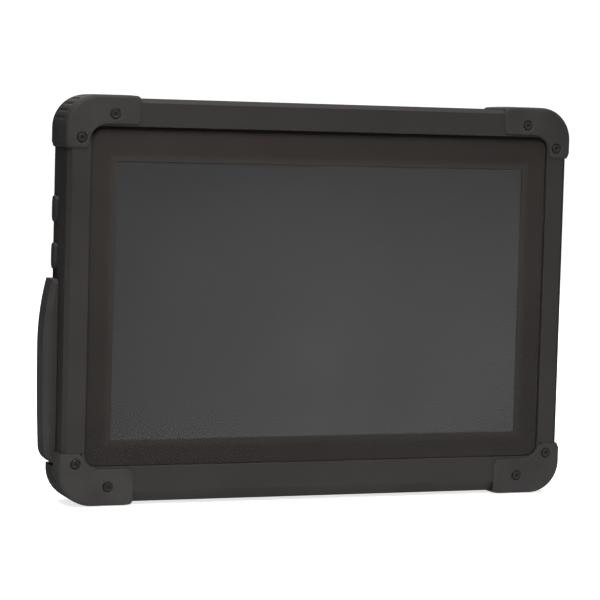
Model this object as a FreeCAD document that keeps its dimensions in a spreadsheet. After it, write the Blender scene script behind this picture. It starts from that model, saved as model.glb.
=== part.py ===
"""Rugged tablet data collector, 10.1-inch display, as an assembly of separate sub-parts.

Millimetres. +Z is up and the tablet stands on its two lower bumpers, with the display facing -Y and
+X to the right as the user sees it. The origin is the middle of the standing surface.
Every sub-part is modelled about the middle of the case and then moved along X by centre_shift,
because the connector cover stands out further on the left than the bumpers do on the right.
"""
import FreeCAD, Part
import math
import os
import re
import Sketcher

V = FreeCAD.Vector

# Driving dimensions. Values named *_face and *_line are places along Y, *_height are places along Z.
SIZES = {
    # case
    "case_width": 266.0, "case_tall": 197.0, "case_radius": 14.5, "wall": 3.2,
    "middle_height": 100.0, "centre_shift": 2.75,
    "front_face": -15.0, "split_line": -4.0, "rear_face": 12.0, "floor_thick": 2.5,
    "front_chamfer": 2.2, "rear_chamfer": 2.2, "chin_tall": 5.5, "chin_deep": 4.0,
    # cover glass and display
    "glass_width": 243.0, "glass_tall": 165.0, "glass_thick": 1.75, "glass_radius": 6.0,
    "glass_height": 102.0, "glass_sink": 0.1, "recess_deep": 2.2, "ledge_thick": 2.0,
    "active_width": 216.96, "active_tall": 135.6, "panel_width": 229.0, "panel_tall": 149.0,
    "print_thick": 0.1, "glue_thick": 0.2,
    # corner bumpers
    "bumper_side": 1.5, "bumper_end": 1.5, "bumper_front": 1.0, "bumper_radius": 16.5,
    "bumper_along": 97.0, "bumper_up": 74.0, "bumper_fit": 0.1, "bumper_round": 1.8, "lip_wide": 17.0,
    "lip_screw_across": 110.0, "lip_screw_up": 90.5, "side_screw_across": 126.5, "side_screw_up": 79.0,
    "lip_head_radius": 2.1, "lip_head_tall": 0.55, "lip_screw_radius": 1.1, "lip_screw_length": 3.9,
    # fasteners of the case
    "boss_across": 121.0, "boss_up": 87.0, "boss_radius": 3.6, "boss_inner": 60.0,
    "screw_radius": 1.3, "screw_head_radius": 2.8, "screw_head_tall": 2.4, "screw_length": 17.0,
    # battery
    "battery_height": 78.0, "bay_width": 190.0, "bay_tall": 84.0, "bay_deep": 6.0,
    "battery_rear": 16.0, "hump_width": 222.0, "hump_tall": 92.0, "slack": 0.3,
    "captive_across": 103.0, "captive_radius": 2.0, "bush_bore": 2.1, "bush_radius": 3.3,
    # connector bay and its cover
    "door_low": 19.35, "door_top": 110.0, "door_front": -3.0, "door_rear": 11.4,
    "door_proud": 7.0, "door_gap": 0.2, "door_upper_step": 3.0, "door_dome_height": 78.0,
    "door_lower_step": 5.8, "door_lower_height": 27.0, "door_lower_radius": 8.8,
    "hinge_out": 2.4, "hinge_line": 9.6, "pin_radius": 1.0, "pin_fit": 0.05, "lug_radius": 2.1,
    "bay_front": -0.5, "bay_rear": 8.5, "bay_low": 26.5, "bay_top": 102.5, "bay_sink": 4.5,
    # side keys
    "power_height": 144.0, "function_height": 121.0, "key_long": 13.0, "key_wide": 7.0,
    "key_line": 4.5, "key_proud": 1.8, "key_fit": 0.3,
    # boards
    "chassis_line": -8.3, "chassis_thick": 1.0, "board_line": -3.9, "board_thick": 1.6,
    # rear bolt pattern
    "mount_across": 19.0, "mount_up": 15.0, "mount_height": 155.0, "insert_radius": 3.5,
    "insert_bore": 2.0, "insert_long": 6.5,
    # rear camera and loudspeakers
    "camera_across": 70.0, "camera_height": 163.0, "flash_across": 88.0,
    "speaker_across": 35.0, "speaker_height": 18.0,
}

doc = FreeCAD.newDocument("DataCollector")
sheet = doc.addObject("Spreadsheet::Sheet", "Sizes")
for row, (alias, number) in enumerate(SIZES.items(), 1):
    sheet.set(f"A{row}", alias)
    sheet.set(f"B{row}", str(number))
    sheet.setAlias(f"B{row}", alias)
doc.recompute()

nodes = []


# ---------------------------------------------------------------- helpers: expressions

def cells(expression):
    """Write the sheet's name before every alias in an expression."""
    def named(word):
        return "Sizes." + word.group() if word.group() in SIZES else word.group()
    return re.sub(r"[a-z]\w*", named, str(expression))


def value(expression):
    """The number that an expression of cells stands for now."""
    return float(sheet.evalExpression(cells(expression)))


def bind(item, **properties):
    """Drive properties from the sheet; two underscores in a name stand for a dot."""
    for name, expression in properties.items():
        item.setExpression(name.replace("__", "."), cells(expression))
    return item


def span(middle, size):
    """The low and high ends of a size centred on a place."""
    return f"{middle} - ({size}) / 2", f"{middle} + ({size}) / 2"


def node(label, item):
    """Name a finished sub-part and move it so that the whole object is centred on X = 0."""
    placed = {path.lstrip("."): text for path, text in item.ExpressionEngine}
    start = placed.get("Placement.Base.x", "0")
    item.setExpression("Placement.Base.x", f"{start} + Sizes.centre_shift")
    item.Label = label
    nodes.append(item)
    return item


# ---------------------------------------------------------------- helpers: primitives

def block(name, x, y, z):
    """A box between the two ends given along each axis."""
    item = doc.addObject("Part::Box", name)
    for side, axis, (low, high) in zip(("Length", "Width", "Height"), "xyz", (x, y, z)):
        item.setExpression(side, cells(f"({high}) - ({low})"))
        item.setExpression("Placement.Base." + axis, cells(low))
    return item


TURNS = {"x": FreeCAD.Rotation(V(0, 1, 0), 90), "y": FreeCAD.Rotation(V(1, 0, 0), -90),
         "z": FreeCAD.Rotation()}


def turned(item, axis, start, across):
    """Stand a primitive along an axis, from start, at its places on the other two axes."""
    item.Placement = FreeCAD.Placement(V(), TURNS[axis])
    others = [name for name in "xyz" if name != axis]
    item.setExpression("Placement.Base." + axis, cells(start))
    for name, place in zip(others, across):
        item.setExpression("Placement.Base." + name, cells(place))
    return item


def rod(name, axis, radius, start, end, across):
    """A cylinder along an axis between start and end."""
    item = doc.addObject("Part::Cylinder", name)
    bind(item, Radius=radius, Height=f"({end}) - ({start})")
    return turned(item, axis, start, across)


def hexagon(name, axis, radius, start, end, across):
    """A six-sided bar along an axis between start and end, for a socket in a screw head."""
    item = doc.addObject("Part::Prism", name)
    item.Polygon = 6
    bind(item, Circumradius=radius, Height=f"({end}) - ({start})")
    return turned(item, axis, start, across)


def cut(name, base, *tools):
    """The base with every tool taken away."""
    item = doc.addObject("Part::Cut", name)
    item.Base = base
    item.Tool = tools[0] if len(tools) == 1 else fuse(name + "Tools", *tools)
    return item


def fuse(name, *pieces):
    """The pieces joined into one solid."""
    item = doc.addObject("Part::MultiFuse", name)
    item.Shapes = list(pieces)
    item.Refine = True
    return item


def common(name, *pieces):
    """What the pieces share."""
    item = doc.addObject("Part::MultiCommon", name)
    item.Shapes = list(pieces)
    return item


def group(name, pieces):
    """Separate solids kept together in one node."""
    item = doc.addObject("Part::Compound", name)
    item.Links = pieces
    return item


# ---------------------------------------------------------------- helpers: bodies and sketches

PLANES = {"XZ": ("XZ_Plane", -1), "YZ": ("YZ_Plane", 1), "XY": ("XY_Plane", 1)}


def body(name):
    return doc.addObject("PartDesign::Body", name)


def sketch(owner, plane, place):
    """A sketch parallel to one of the body's origin planes, at a place along the plane's axis."""
    role, sense = PLANES[plane]
    drawn = owner.newObject("Sketcher::SketchObject", f"{owner.Name}Sketch")
    support = next(item for item in owner.Origin.OriginFeatures if item.Role == role)
    drawn.AttachmentSupport = [(support, "")]
    drawn.MapMode = "FlatFace"
    drawn.setExpression("AttachmentOffset.Base.z", cells(f"{sense} * ({place})"))
    return drawn


def limit(drawn, expression, kind, *where):
    """A sketch dimension driven by an expression."""
    index = drawn.addConstraint(Sketcher.Constraint(kind, *where, value(expression)))
    drawn.setExpression(f"Constraints[{index}]", cells(expression))


def place_point(drawn, geometry, end, across, up):
    """Fix a point of the sketch at two signed distances from its origin."""
    for kind, expression in (("DistanceX", across), ("DistanceY", up)):
        limit(drawn, expression, kind, -1, 1, geometry, end)


def circle(drawn, radius, across, up):
    """A circle with its centre fixed."""
    centre = V(value(across), value(up), 0)
    index = drawn.addGeometry(Part.Circle(centre, V(0, 0, 1), value(radius)), False)
    limit(drawn, radius, "Radius", index)
    place_point(drawn, index, 3, across, up)


def rounded(drawn, across, up, radius):
    """A rounded rectangle between its low and high ends in the sketch's two directions."""
    left, right, low, high, r = (value(text) for text in (*across, *up, radius))
    centres = ((right - r, low + r), (right - r, high - r), (left + r, high - r), (left + r, low + r))
    starts = ((left + r, low), (right, low + r), (right - r, high), (left, high - r))
    ends = ((right - r, low), (right, high - r), (left + r, high), (left, low + r))
    first = drawn.GeometryCount
    for turn, (centre, start, end) in enumerate(zip(centres, starts, ends)):
        arc = Part.Circle(V(*centre, 0), V(0, 0, 1), r)
        angle = math.radians(90 * turn - 90)
        drawn.addGeometry(Part.LineSegment(V(*start, 0), V(*end, 0)), False)
        drawn.addGeometry(Part.ArcOfCircle(arc, angle, angle + math.pi / 2), False)
    bottom, corner, side, top, far = first, first + 1, first + 2, first + 4, first + 6
    rules = [("Tangent", first + i, 2, first + (i + 1) % 8, 1) for i in range(8)]
    rules += [("Equal", corner, first + i) for i in (3, 5, 7)]
    rules += [("Horizontal", bottom), ("Vertical", side), ("Horizontal", top), ("Vertical", far)]
    drawn.addConstraint([Sketcher.Constraint(*rule) for rule in rules])
    limit(drawn, radius, "Radius", corner)
    limit(drawn, across[1], "DistanceX", -1, 1, side, 1)
    limit(drawn, across[0], "DistanceX", -1, 1, far, 1)
    limit(drawn, up[0], "DistanceY", -1, 1, bottom, 1)
    limit(drawn, up[1], "DistanceY", -1, 1, top, 1)


def outline(drawn, points, arcs=None):
    """A closed outline through fixed points; arcs gives the radius of each stretch that is an arc.

    The points go round so that every arc turns anticlockwise, or clockwise where its number is in
    arcs with a minus sign.
    """
    arcs = arcs or {}
    places = [V(value(across), value(up), 0) for across, up in points]
    first = drawn.GeometryCount
    begins = {}
    for index, start in enumerate(places):
        end = places[(index + 1) % len(places)]
        clockwise = index in arcs and str(arcs[index]).startswith("-")
        begins[index] = 2 if clockwise else 1
        if index in arcs:
            radius = value(arcs[index].lstrip("-"))
            edge = arc_between(end, start, radius) if clockwise else arc_between(start, end, radius)
        else:
            edge = Part.LineSegment(start, end)
        drawn.addGeometry(edge, False)
    for index, (across, up) in enumerate(points):
        before = (index - 1) % len(points)
        drawn.addConstraint(Sketcher.Constraint(
            "Coincident", first + before, 3 - begins[before], first + index, begins[index]))
        place_point(drawn, first + index, begins[index], across, up)
        if index in arcs:
            limit(drawn, arcs[index].lstrip("-"), "Radius", first + index)


def arc_between(start, end, radius):
    """The anticlockwise arc of a radius from start to end, no more than half a turn."""
    chord = end - start
    rise = math.sqrt(max(radius ** 2 - chord.Length ** 2 / 4, 0))
    centre = (start + end) / 2 + V(-chord.y, chord.x, 0).normalize() * rise
    first = math.atan2(start.y - centre.y, start.x - centre.x)
    last = math.atan2(end.y - centre.y, end.x - centre.x)
    if last < first:
        last += 2 * math.pi
    return Part.ArcOfCircle(Part.Circle(centre, V(0, 0, 1), radius), first, last)


def pad(owner, drawn, length, backwards=False):
    """Add material from a sketch along its normal, or against it."""
    item = owner.newObject("PartDesign::Pad", f"{owner.Name}Pad")
    item.Profile = drawn
    item.Reversed = backwards
    bind(item, Length=length)
    doc.recompute()
    return item


def pocket(owner, drawn, depth, along=False):
    """Cut from a sketch against its normal, or along it, and check that something went."""
    before = owner.Shape.Volume
    item = owner.newObject("PartDesign::Pocket", f"{owner.Name}Pocket")
    item.Profile = drawn
    item.Reversed = along
    bind(item, Length=depth)
    doc.recompute()
    if not item.Shape.Volume < before - 0.01:
        raise ValueError(f"{item.Name} of {owner.Name} cuts nothing")
    return item


def bevel(owner, kind, size, wanted):
    """Chamfer or fillet the body's edges whose box passes a test."""
    doc.recompute()
    tip = owner.Tip
    names = [f"Edge{i}" for i, edge in enumerate(tip.Shape.Edges, 1) if wanted(edge.BoundBox)]
    item = owner.newObject("PartDesign::" + kind, f"{owner.Name}{kind}")
    item.Base = (tip, names)
    bind(item, **{"Size" if kind == "Chamfer" else "Radius": size})
    doc.recompute()
    return item


def lies_at(low, high, place):
    """Whether an edge's box lies flat at a place along one axis."""
    return abs(low - place) < 0.01 and abs(high - place) < 0.01


CASE_X = span("0", "case_width")
CASE_Z = span("middle_height", "case_tall")
GLASS_X = span("0", "glass_width")
GLASS_Z = span("glass_height", "glass_tall")
SIDE = "-case_width / 2"
HINGE_X = f"{SIDE} - hinge_out"
LEDGE = "front_face + recess_deep"
CAVITY_FRONT = "front_face + recess_deep + ledge_thick"
INNER_FLOOR = "rear_face - floor_thick"


def grown(ends, by):
    """Ends moved outwards by a distance, or inwards when it is negative."""
    return f"{ends[0]} - ({by})", f"{ends[1]} + ({by})"


def boss_places():
    """Where the case screws are: corners, upper and lower edges, and the right edge."""
    for up in ("-boss_up", "boss_up"):
        for across in ("-boss_across", "-boss_inner", "boss_inner", "boss_across"):
            yield across, f"middle_height + {up}"
    yield "boss_across", "middle_height"


CORNERS = [(side, up) for side in (-1, 1) for up in (-1, 1)]


def bumper_screw_places(side, up):
    """Two screws in the front lip of the bumper on one side (-1 or 1), low (-1) or high (1)."""
    return ((f"{side} * lip_screw_across", f"middle_height + {up} * lip_screw_up"),
            (f"{side} * side_screw_across", f"middle_height + {up} * side_screw_up"))


# ---------------------------------------------------------------- front housing

def front_housing():
    """Moulded frame round the display: recess and ledge for the glass, open at the back."""
    owner = body("FrontHousing")
    drawn = sketch(owner, "XZ", "split_line")
    rounded(drawn, CASE_X, CASE_Z, "case_radius")
    pad(owner, drawn, "split_line - front_face")
    front = value("front_face")
    bevel(owner, "Chamfer", "front_chamfer", lambda b: lies_at(b.YMin, b.YMax, front))

    drawn = sketch(owner, "YZ", SIDE)
    bottom = "middle_height - case_tall / 2"
    outline(drawn, [("front_face", bottom), ("front_face + chin_deep", bottom),
                    ("front_face", f"{bottom} + chin_tall")])
    pocket(owner, drawn, "case_width", along=True)

    drawn = sketch(owner, "XZ", "split_line")
    rounded(drawn, grown(CASE_X, "-wall"), grown(CASE_Z, "-wall"), "case_radius - wall")
    pocket(owner, drawn, f"split_line - ({CAVITY_FRONT})", along=True)

    drawn = sketch(owner, "XZ", "front_face")
    rounded(drawn, grown(GLASS_X, "slack"), grown(GLASS_Z, "slack"), "glass_radius + slack")
    pocket(owner, drawn, "recess_deep")

    drawn = sketch(owner, "XZ", "front_face")
    rounded(drawn, span("0", "panel_width + 2"), span("middle_height", "panel_tall + 2"), "2")
    pocket(owner, drawn, f"({CAVITY_FRONT}) - front_face")

    drawn = sketch(owner, "XZ", f"{CAVITY_FRONT} - 0.5")
    for across, up in boss_places():
        circle(drawn, "boss_radius", across, up)
    pad(owner, drawn, f"split_line - ({CAVITY_FRONT}) + 0.5", backwards=True)

    drawn = sketch(owner, "XZ", "split_line")
    for across, up in boss_places():
        circle(drawn, "screw_radius + 0.05", across, up)
    pocket(owner, drawn, "6.2", along=True)

    drawn = sketch(owner, "XZ", "front_face")
    for corner in CORNERS:
        for across, up in bumper_screw_places(*corner):
            circle(drawn, "lip_screw_radius + 0.05", across, up)
    pocket(owner, drawn, "lip_screw_length - 0.3")
    return node("front_housing", owner)


# ---------------------------------------------------------------- rear housing

SOCKETS = {"usb_socket_upper": ("91", "14", "6.2"), "usb_socket_lower": ("73", "14", "6.2"),
           "usb_c_socket": ("57.5", "9.6", "4"), "audio_jack": ("46.5", "7", "6.6"),
           "power_jack": ("34.5", "9", "8")}
SOCKET_FLOOR = "0.75"
SOCKET_MOUTH = f"{SIDE} + bay_sink + 0.2"


def rear_housing():
    """Moulded back shell with the battery bay, the connector bay, its hinge lugs and the bosses."""
    owner = body("RearHousing")
    drawn = sketch(owner, "XZ", "rear_face")
    rounded(drawn, CASE_X, CASE_Z, "case_radius")
    pad(owner, drawn, "rear_face - split_line")
    rear = value("rear_face")
    bevel(owner, "Chamfer", "rear_chamfer", lambda b: lies_at(b.YMin, b.YMax, rear))

    drawn = sketch(owner, "XZ", "split_line")
    rounded(drawn, grown(CASE_X, "-wall"), grown(CASE_Z, "-wall"), "case_radius - wall")
    pocket(owner, drawn, f"{INNER_FLOOR} - split_line")

    rear_housing_bosses(owner)
    rear_housing_battery_bay(owner)
    rear_housing_connector_bay(owner)
    rear_housing_openings(owner)

    drawn = sketch(owner, "XZ", "split_line")
    rounded(drawn, grown(CASE_X, "-0.9"), grown(CASE_Z, "-0.9"), "case_radius - 0.9")
    rounded(drawn, grown(CASE_X, "-2.3"), grown(CASE_Z, "-2.3"), "case_radius - 2.3")
    pocket(owner, drawn, "1")
    return node("rear_housing", owner)


def rear_housing_bosses(owner):
    """Posts for the case screws, the mount inserts and the battery bushes, with their holes."""
    drawn = sketch(owner, "XZ", f"{INNER_FLOOR} + 0.1")
    for across, up in boss_places():
        circle(drawn, "boss_radius", across, up)
    pad(owner, drawn, f"{INNER_FLOOR} + 0.1 - split_line")

    drawn = sketch(owner, "XZ", f"{INNER_FLOOR} + 0.1")
    for across, up in mount_places():
        circle(drawn, "insert_radius + 2", across, up)
    for side in (-1, 1):
        circle(drawn, "bush_radius + 1.6", f"{side} * captive_across", "battery_height")
    pad(owner, drawn, "6.6")

    drawn = sketch(owner, "XZ", "rear_face")
    for across, up in boss_places():
        circle(drawn, "screw_head_radius + 0.3", across, up)
    pocket(owner, drawn, "screw_head_tall + 0.8", along=True)
    drawn = sketch(owner, "XZ", "rear_face")
    for across, up in boss_places():
        circle(drawn, "screw_radius + 0.3", across, up)
    pocket(owner, drawn, "rear_face - split_line + 1", along=True)
    drawn = sketch(owner, "XZ", "rear_face")
    for across, up in mount_places():
        circle(drawn, "insert_radius + 0.05", across, up)
    pocket(owner, drawn, "insert_long + 0.5", along=True)


def rear_housing_battery_bay(owner):
    """Tray in the back for the battery, with its bush holes and the opening for its contacts."""
    drawn = sketch(owner, "XZ", f"{INNER_FLOOR} + 0.1")
    rounded(drawn, span("0", "bay_width + 6"), span("battery_height", "bay_tall + 6"), "7")
    pad(owner, drawn, "bay_deep - floor_thick + 1.6")
    drawn = sketch(owner, "XZ", "rear_face")
    rounded(drawn, span("0", "bay_width"), span("battery_height", "bay_tall"), "5")
    pocket(owner, drawn, "bay_deep", along=True)
    drawn = sketch(owner, "XZ", "rear_face")
    rounded(drawn, span("0", "30.4"), span("battery_height + 34", "6.4"), "0.3")
    pocket(owner, drawn, "bay_deep + 3", along=True)
    drawn = sketch(owner, "XZ", "rear_face")
    for side in (-1, 1):
        circle(drawn, "bush_radius + 0.05", f"{side} * captive_across", "battery_height")
    pocket(owner, drawn, "8.2", along=True)


def rear_housing_connector_bay(owner):
    """Recess in the left side with a mouth for each socket, and two hinge lugs for its cover."""
    drawn = sketch(owner, "YZ", f"{SIDE} + 2")
    rounded(drawn, ("split_line + 0.8", f"{INNER_FLOOR} + 0.1"), ("bay_low - 4", "bay_top + 4"), "1")
    pad(owner, drawn, "8")
    drawn = sketch(owner, "YZ", SIDE)
    rounded(drawn, ("bay_front", "bay_rear"), ("bay_low", "bay_top"), "1.5")
    pocket(owner, drawn, "bay_sink", along=True)
    for height, long, wide in SOCKETS.values():
        drawn = sketch(owner, "YZ", SIDE)
        across = (f"{SOCKET_FLOOR} - 0.2", f"{SOCKET_FLOOR} + {wide} + 0.2")
        rounded(drawn, across, span(height, f"{long} + 0.4"), "0.6")
        pocket(owner, drawn, "11", along=True)
    web = "bay_rear + 0.3"
    tangent = f"{HINGE_X} + sqrt(lug_radius^2 - (hinge_line - ({web}))^2)"
    for low in ("34", "88"):
        drawn = sketch(owner, "XY", low)
        outline(drawn, [(HINGE_X, "hinge_line + lug_radius"), (HINGE_X, "hinge_line - lug_radius"),
                        (tangent, web), (f"{SIDE} + 2.8", web),
                        (f"{SIDE} + 0.2", "hinge_line + lug_radius")],
                {0: "lug_radius", 1: "lug_radius"})
        pad(owner, drawn, "6")
    drawn = sketch(owner, "XY", "30")
    circle(drawn, "pin_radius + pin_fit", HINGE_X, "hinge_line")
    pocket(owner, drawn, "70", along=True)


def rear_housing_openings(owner):
    """Apertures for the keys, camera, flash, loudspeakers, microphone and docking connector."""
    drawn = sketch(owner, "YZ", SIDE)
    for height in ("power_height", "function_height"):
        rounded(drawn, span("key_line", "key_wide + 2 * key_fit"),
                span(height, "key_long + 2 * key_fit"), "3")
    pocket(owner, drawn, "wall + 1", along=True)

    drawn = sketch(owner, "XZ", "rear_face")
    circle(drawn, "7", "camera_across", "camera_height")
    pocket(owner, drawn, "1.1", along=True)
    drawn = sketch(owner, "XZ", "rear_face")
    circle(drawn, "4.5", "camera_across", "camera_height")
    circle(drawn, "3", "flash_across", "camera_height")
    circle(drawn, "0.6", "-85", "camera_height")
    for side in (-1, 1):
        for step in range(-2, 3):
            rounded(drawn, span(f"{side} * speaker_across", "24"),
                    span(f"speaker_height + {step} * 3", "1.4"), "0.6")
    pocket(owner, drawn, "floor_thick + 1", along=True)

    drawn = sketch(owner, "XY", "middle_height - case_tall / 2")
    rounded(drawn, span("0", "48"), ("0.5", "8"), "0.3")
    pocket(owner, drawn, "wall + 1", along=True)


def mount_places():
    """The four inserts of the rear bolt pattern."""
    for side in (-1, 1):
        for up in (-1, 1):
            yield f"{side} * mount_across", f"mount_height + {up} * mount_up"


# ---------------------------------------------------------------- seals and fasteners of the case

def ring(name, label, place, length, across, up, radius, width, plane="XZ", inner="0.5"):
    """A flat ring with a rounded rectangular outline and an even width."""
    owner = body(name)
    drawn = sketch(owner, plane, place)
    rounded(drawn, across, up, radius)
    rounded(drawn, grown(across, f"-({width})"), grown(up, f"-({width})"), inner)
    pad(owner, drawn, length)
    return node(label, owner)


def cap_screw(name, across, up, head, turned_to, sizes):
    """A socket screw along Y with its head's outer face at a place, facing +Y (1) or -Y (-1)."""
    head_radius, head_tall, radius, length = sizes
    ends = {1: (f"{head} - ({head_tall})", head), -1: (head, f"{head} + {head_tall}")}[turned_to]
    shank = {1: (f"{head} - ({length})", head), -1: (head, f"{head} + {length}")}[turned_to]
    hole = {1: (f"{head} - 1.2", f"{head} + 1"), -1: (f"{head} - 1", f"{head} + 1.2")}[turned_to]
    place = (across, up)
    whole = fuse(name + "Blank", rod(name + "Head", "y", head_radius, *ends, place),
                 rod(name + "Shank", "y", radius, *shank, place))
    return cut(name, whole, hexagon(name + "Socket", "y", f"({head_radius}) / 2", *hole, place))


def case_fasteners():
    """Gasket between the shells, and the screws that draw them together."""
    ring("HousingSeal", "housing_seal", "split_line + 0.95", "0.9", grown(CASE_X, "-0.95"),
         grown(CASE_Z, "-0.95"), "case_radius - 0.95", "1.3", inner="case_radius - 2.25")
    sizes = ("screw_head_radius", "screw_head_tall", "screw_radius", "screw_length")
    node("housing_screws", group("HousingScrews", [
        cap_screw(f"CaseScrew{index}", across, up, "rear_face - 0.7", 1, sizes)
        for index, (across, up) in enumerate(boss_places())]))
    sizes = ("lip_head_radius", "lip_head_tall", "lip_screw_radius", "lip_screw_length")
    node("bumper_screws", group("BumperScrews", [
        cap_screw(f"BumperScrew{index}{number}", across, up, "front_face - 0.75", -1, sizes)
        for index, corner in enumerate(CORNERS)
        for number, (across, up) in enumerate(bumper_screw_places(*corner))]))


# ---------------------------------------------------------------- corner bumpers

def case_envelope():
    """The outside of the closed case, a little larger, that the bumpers fit over."""
    owner = body("CaseEnvelope")
    drawn = sketch(owner, "XZ", "rear_face + bumper_fit")
    rounded(drawn, grown(CASE_X, "bumper_fit"), grown(CASE_Z, "bumper_fit"), "case_radius + bumper_fit")
    pad(owner, drawn, "rear_face - front_face + 2 * bumper_fit")
    front, rear = value("front_face - bumper_fit"), value("rear_face + bumper_fit")
    bevel(owner, "Chamfer", "front_chamfer - 0.1",
          lambda b: lies_at(b.YMin, b.YMax, front) or lies_at(b.YMin, b.YMax, rear))
    return owner


def bumper_surround():
    """The outside of all four bumpers as one rounded frame, with its front and rear lips."""
    owner = body("BumperSurround")
    drawn = sketch(owner, "XZ", "rear_face + bumper_front")
    rounded(drawn, grown(CASE_X, "bumper_side"), grown(CASE_Z, "bumper_end"), "bumper_radius")
    pad(owner, drawn, "rear_face - front_face + 2 * bumper_front")
    front, rear = value("front_face - bumper_front"), value("rear_face + bumper_front")
    bevel(owner, "Fillet", "bumper_round",
          lambda b: lies_at(b.YMin, b.YMax, front) or lies_at(b.YMin, b.YMax, rear))
    drawn = sketch(owner, "XZ", "front_face - bumper_front")
    rounded(drawn, grown(GLASS_X, "1.2"), grown(GLASS_Z, "1.2"), "glass_radius + 3")
    pocket(owner, drawn, "3")
    drawn = sketch(owner, "XZ", "rear_face + bumper_front")
    rounded(drawn, grown(CASE_X, "-lip_wide"), grown(CASE_Z, "-lip_wide"), "8")
    pocket(owner, drawn, "3", along=True)
    return owner


def corner_bumpers():
    """Four rubber corner caps, cut from one surround; one is notched for the connector cover."""
    envelope = case_envelope()
    surround = bumper_surround()
    for label, side, up in (("bumper_top_left", -1, 1), ("bumper_top_right", 1, 1),
                            ("bumper_bottom_left", -1, -1), ("bumper_bottom_right", 1, -1)):
        name = label.title().replace("_", "")
        x = ("bumper_along", "case_width") if side > 0 else ("-case_width", "-bumper_along")
        z = ("middle_height + bumper_up", "300") if up > 0 else ("-100", "middle_height - bumper_up")
        corner = block(name + "Corner", x, ("-100", "100"), z)
        tools = [envelope]
        for index, (across, height) in enumerate(bumper_screw_places(side, up)):
            place = (across, height)
            tools.append(rod(f"{name}Head{index}", "y", "lip_head_radius + 0.15", "front_face - 2",
                             "front_face - 0.15", place))
            tools.append(rod(f"{name}Shank{index}", "y", "lip_screw_radius + 0.1", "front_face - 2",
                             "front_face + 3", place))
        if label == "bumper_bottom_left":
            tools.append(block(name + "Notch", ("-case_width", f"{SIDE} + 12"), ("door_front - 0.6", "100"),
                               ("door_low - 0.7", "100")))
        node(label, cut(name, common(name + "Cap", surround, corner), *tools))


# ---------------------------------------------------------------- cover glass and display

GLASS_BACK = "front_face + glass_sink + glass_thick"
PANEL_FRONT = f"{LEDGE} + 0.1"
PANEL_BACK = f"{LEDGE} + 1.9"


def display():
    """Cover glass, its printed border, its adhesive, and the display stack behind the ledge."""
    owner = body("CoverGlass")
    drawn = sketch(owner, "XZ", GLASS_BACK)
    rounded(drawn, GLASS_X, GLASS_Z, "glass_radius")
    pad(owner, drawn, "glass_thick")
    front = value("front_face + glass_sink")
    bevel(owner, "Chamfer", "0.4", lambda b: lies_at(b.YMin, b.YMax, front))
    node("cover_glass", owner)

    owner = body("GlassBorder")
    drawn = sketch(owner, "XZ", f"{GLASS_BACK} + print_thick")
    rounded(drawn, grown(GLASS_X, "-0.2"), grown(GLASS_Z, "-0.2"), "glass_radius - 0.2")
    rounded(drawn, span("0", "active_width"), span("middle_height", "active_tall"), "0.5")
    pad(owner, drawn, "print_thick")
    node("glass_border_print", owner)

    owner = body("GlassAdhesive")
    drawn = sketch(owner, "XZ", f"{GLASS_BACK} + print_thick + glue_thick")
    rounded(drawn, grown(GLASS_X, "-1"), grown(GLASS_Z, "-1"), "glass_radius - 1")
    rounded(drawn, span("0", "panel_width + 3"), span("middle_height", "panel_tall + 3"), "2")
    pad(owner, drawn, "glue_thick")
    node("glass_adhesive", owner)

    node("lcd_panel", block("LcdPanel", span("0", "panel_width"), (PANEL_FRONT, PANEL_BACK),
                            span("middle_height", "panel_tall")))
    node("backlight_plate", block("BacklightPlate", span("0", "panel_width - 3"),
                                  (f"{PANEL_BACK} + 0.05", f"{PANEL_BACK} + 0.85"),
                                  span("middle_height", "panel_tall - 3")))
    rim = block("LcdFrameRim", span("0", "panel_width + 5"),
                (f"{CAVITY_FRONT} + 0.05", f"{CAVITY_FRONT} + 1.6"), span("middle_height", "panel_tall + 5"))
    room = block("LcdFrameRoom", span("0", "panel_width - 1"),
                 (f"{CAVITY_FRONT} - 1", f"{CAVITY_FRONT} + 0.8"), span("middle_height", "panel_tall - 1"))
    hole = block("LcdFrameHole", span("0", "panel_width - 29"), (CAVITY_FRONT, f"{CAVITY_FRONT} + 3"),
                 span("middle_height", "panel_tall - 29"))
    node("lcd_frame", cut("LcdFrame", rim, room, hole))
    display_cable()


def display_cable():
    """Flat flexible cable from behind the display, through the chassis, to the main board."""
    owner = body("DisplayCable")
    drawn = sketch(owner, "YZ", "-12")
    start, end = "chassis_line - 0.6", "board_line - 0.5"
    outline(drawn, [(start, "30"), (f"{start} + 0.3", "30"), (f"{start} + 0.3", "62"), (end, "62"),
                    (end, "72"), (f"{end} - 0.3", "72"), (f"{end} - 0.3", "62.3"), (start, "62.3")])
    pad(owner, drawn, "24")
    node("display_cable", owner)


# ---------------------------------------------------------------- chassis and boards

BOARD_X = ("-95", "75")
BOARD_Z = ("60", "165")
BOARD_BACK = "board_line + board_thick"


def board_fixings():
    """The four corners at which the main board is screwed to the chassis."""
    for across in ("-91", "71"):
        for up in ("64", "161"):
            yield across, up


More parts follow.
